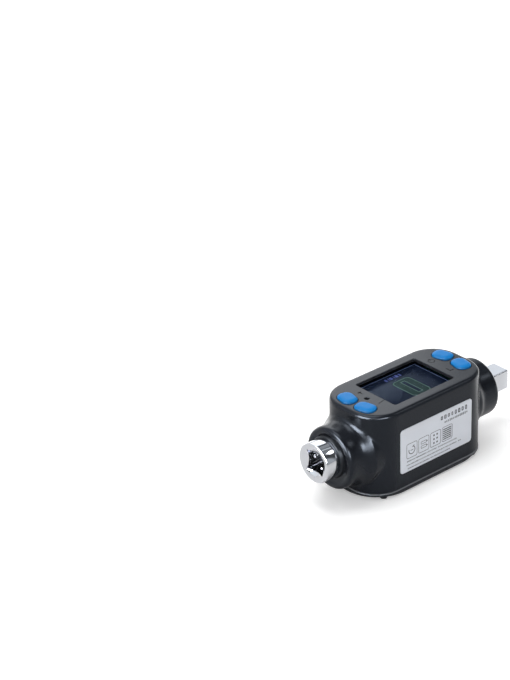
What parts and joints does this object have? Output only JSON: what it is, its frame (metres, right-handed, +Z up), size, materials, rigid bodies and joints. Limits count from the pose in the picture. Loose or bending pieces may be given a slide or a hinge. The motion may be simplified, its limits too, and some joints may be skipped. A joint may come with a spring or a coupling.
{
  "type": "digital torque adapter",
  "caption": "Digital torque adapter: a square-drive measuring shaft through a moulded housing with display window, push buttons and a side label.",
  "frame": {"origin": "centre of the bounding box at the level of the feet's undersides", "axes": "+X along the drive axis from the female square to the male square, +Z up through the top panel, -Y towards the label side"},
  "size_m": [0.1546, 0.05, 0.0571],
  "materials": {
    "housing_plastic": "fine texture, satin",
    "cover_plastic": "fine texture, satin",
    "bush_plastic": "smooth",
    "label_foil": "satin foil, printed",
    "button_plastic": "satin",
    "window_glass": "tinted, glossy",
    "display": "liquid crystal glass",
    "chromed_steel": "satin chrome",
    "ball_steel": "polished",
    "spring_steel": "plain",
    "zinc_steel": "zinc plated",
    "rubber_black": "matte",
    "board_green": "solder mask",
    "switch_black": "moulded",
    "plunger_white": "moulded",
    "tray_plastic": "moulded",
    "cell_jacket": "shrink film",
    "contact_metal": "nickel plated",
    "lead_red": "soft",
    "lead_black": "soft",
    "cable_grey": "soft",
    "gauge_foil": "film"
  },
  "bodies": {
    "adapter": {"base_cover": "cover_plastic", "battery_lead_far": "lead_black", "battery_lead_near": "lead_red", "battery_tray": "tray_plastic", "board_screw_1": "zinc_steel", "board_screw_2": "zinc_steel", "board_screw_3": "zinc_steel", "board_screw_4": "zinc_steel", "bridge_contact": "contact_metal", "cell_far": "cell_jacket", "cell_near": "cell_jacket", "contact_spring_far": "contact_metal", "contact_spring_near": "contact_metal", "cover_gasket": "rubber_black", "cover_screw_1": "zinc_steel", "cover_screw_2": "zinc_steel", "cover_screw_3": "zinc_steel", "cover_screw_4": "zinc_steel", "detent_spring": "spring_steel", "display_module": "display", "foot_1": "rubber_black", "foot_2": "rubber_black", "foot_3": "rubber_black", "foot_4": "rubber_black", "front_bush": "bush_plastic", "gauge_cable": "cable_grey", "housing": "housing_plastic", "label_plate": "label_foil", "lock_screw": "zinc_steel", "main_board": "board_green", "rear_bush": "bush_plastic", "retaining_ring": "spring_steel", "shaft_seal": "rubber_black", "sounder": "switch_black", "strain_gauge_far": "gauge_foil", "strain_gauge_near": "gauge_foil", "switch_front_far": "switch_black", "switch_front_near": "switch_black", "switch_rear_far": "switch_black", "switch_rear_near": "switch_black", "terminal_far": "contact_metal", "terminal_near": "contact_metal", "torque_shaft": "chromed_steel", "window_lens": "window_glass"},
    "button_front_near": {"button_front_near": "button_plastic", "plunger_front_near": "plunger_white"},
    "button_front_far": {"button_front_far": "button_plastic", "plunger_front_far": "plunger_white"},
    "button_rear_near": {"button_rear_near": "button_plastic", "plunger_rear_near": "plunger_white"},
    "button_rear_far": {"button_rear_far": "button_plastic", "plunger_rear_far": "plunger_white"},
    "detent": {"detent_ball": "ball_steel"}
  },
  "joints": [
    {"name": "press_front_near", "type": "slide", "parent": "adapter", "child": "button_front_near", "axis": [0, 0, -1], "range_m": [0, 0.0006], "stiffness_N_per_m": 2500, "springref_m": -0.0004},
    {"name": "press_front_far", "type": "slide", "parent": "adapter", "child": "button_front_far", "axis": [0, 0, -1], "range_m": [0, 0.0006], "stiffness_N_per_m": 2500, "springref_m": -0.0004},
    {"name": "press_rear_near", "type": "slide", "parent": "adapter", "child": "button_rear_near", "axis": [0, 0, -1], "range_m": [0, 0.0006], "stiffness_N_per_m": 2500, "springref_m": -0.0004},
    {"name": "press_rear_far", "type": "slide", "parent": "adapter", "child": "button_rear_far", "axis": [0, 0, -1], "range_m": [0, 0.0006], "stiffness_N_per_m": 2500, "springref_m": -0.0004},
    {"name": "detent_slide", "type": "slide", "parent": "adapter", "child": "detent", "axis": [0, 0, 1], "range_m": [0, 0.0007], "stiffness_N_per_m": 1000, "springref_m": -0.0005, "deforming": ["detent_spring"]}
  ]
}
